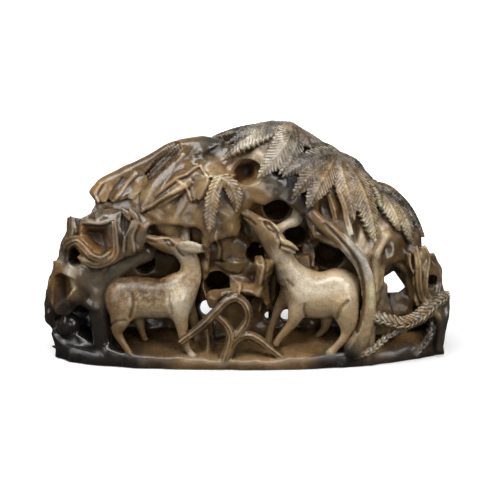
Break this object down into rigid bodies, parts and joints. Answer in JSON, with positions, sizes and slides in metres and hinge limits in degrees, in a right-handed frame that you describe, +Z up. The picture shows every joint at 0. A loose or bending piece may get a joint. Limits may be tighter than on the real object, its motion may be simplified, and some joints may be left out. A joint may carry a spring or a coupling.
{
  "type": "jade boulder carving",
  "caption": "Pierced boulder of brown and grey jade carved with standing deer among rocks, roots, pine and hanging leaves, flat underneath.",
  "frame": {"origin": "middle of the flat underside", "axes": "+X along the length, to the viewer's right; -Y towards the viewer who sees the deer; +Z up"},
  "size_m": [0.15, 0.0498, 0.0881],
  "materials": {
    "jade": "polished"
  },
  "bodies": {
    "root": {"jade_boulder_carving": "jade"}
  },
  "joints": []
}
